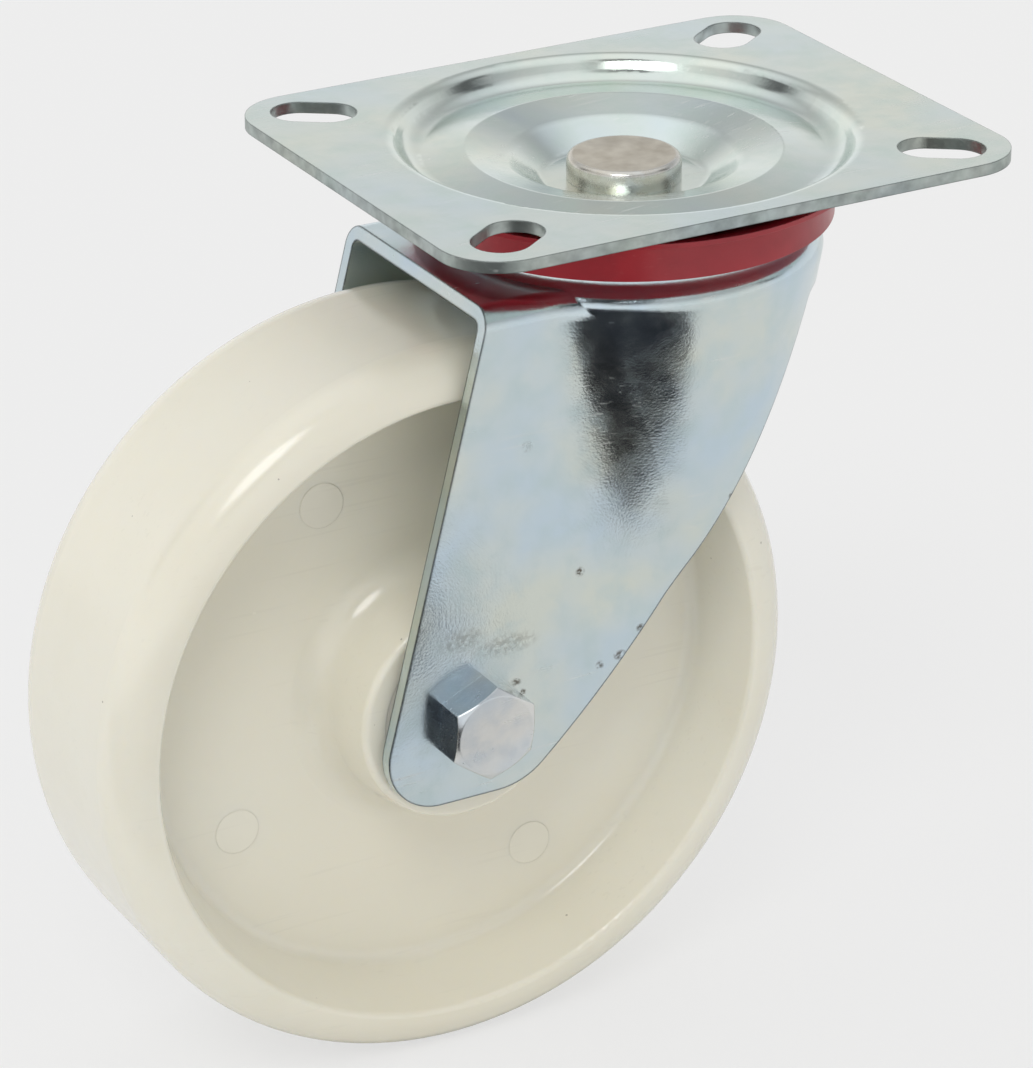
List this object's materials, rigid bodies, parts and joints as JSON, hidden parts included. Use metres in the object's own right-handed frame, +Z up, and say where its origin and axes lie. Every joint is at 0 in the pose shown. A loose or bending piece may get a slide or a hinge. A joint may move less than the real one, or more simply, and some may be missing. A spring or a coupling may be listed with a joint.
{
  "type": "swivel plate castor",
  "caption": "Swivel castor with a slotted mounting plate, dished swivel head, pressed steel fork, red dust seal and a solid white wheel on a bolted axle.",
  "frame": {"origin": "on the swivel axis, in the plane of the mounting plate's top face", "axes": "+Z up out of the mounting face along the swivel axis, +X along the plate's long edge, the wheel trails towards -X and its axle runs along Y"},
  "size_m": [0.197, 0.108, 0.1905],
  "materials": {
    "zinc_plate": "bright zinc plated sheet steel with a pale green and blue tint and light scratches",
    "zinc_fork": "bright zinc plated sheet steel, fine grainy surface, pale blue and yellow tint",
    "zinc_pin": "zinc plated steel with a dull flat top and a bright rounded edge",
    "zinc_bolt": "bright zinc plated steel",
    "inner_steel": "turned or pressed steel, lightly greased",
    "ball_steel": "polished hardened steel",
    "red_plastic": "smooth deep red moulded plastic",
    "white_nylon": "off-white cast nylon, satin gloss, slightly see-through at the edges",
    "cage_plastic": "plain moulded plastic",
    "insert_nylon": "nylon"
  },
  "bodies": {
    "plate": {"top_plate": "zinc_plate", "kingpin": "zinc_pin", "kingpin_sleeve": "inner_steel", "lower_race": "inner_steel"},
    "upper_ball_ring": {"upper_balls": "ball_steel"},
    "lower_ball_ring": {"lower_balls": "ball_steel"},
    "swivel_fork": {"fork": "zinc_fork", "dust_seal": "red_plastic", "axle_sleeve": "inner_steel", "thrust_washer_near": "inner_steel", "thrust_washer_far": "inner_steel", "axle_bolt": "zinc_bolt", "lock_nut": "zinc_bolt", "nut_insert": "insert_nylon"},
    "roller_ring": {"bearing_cage": "cage_plastic", "bearing_rollers": "ball_steel"},
    "road_wheel": {"wheel": "white_nylon", "hub_cap_near": "cage_plastic", "hub_cap_far": "cage_plastic"}
  },
  "joints": [
    {"name": "swivel", "type": "hinge", "parent": "plate", "child": "swivel_fork", "pos_m": [0, 0, 0], "axis": [0, 0, 1], "continuous": true},
    {"name": "upper_ball_orbit", "type": "hinge", "parent": "plate", "child": "upper_ball_ring", "pos_m": [0, 0, 0], "axis": [0, 0, 1], "continuous": true},
    {"name": "lower_ball_orbit", "type": "hinge", "parent": "plate", "child": "lower_ball_ring", "pos_m": [0, 0, 0], "axis": [0, 0, 1], "continuous": true},
    {"name": "wheel_spin", "type": "hinge", "parent": "swivel_fork", "child": "road_wheel", "pos_m": [-0.0515, 0, -0.1105], "axis": [0, 1, 0], "continuous": true},
    {"name": "roller_orbit", "type": "hinge", "parent": "swivel_fork", "child": "roller_ring", "pos_m": [-0.0515, 0, -0.1105], "axis": [0, 1, 0], "continuous": true}
  ],
  "couplings": [
    {"joint": "upper_ball_orbit", "follows": "swivel", "ratio": 0.5},
    {"joint": "lower_ball_orbit", "follows": "swivel", "ratio": 0.5},
    {"joint": "roller_orbit", "follows": "wheel_spin", "ratio": 0.6}
  ]
}
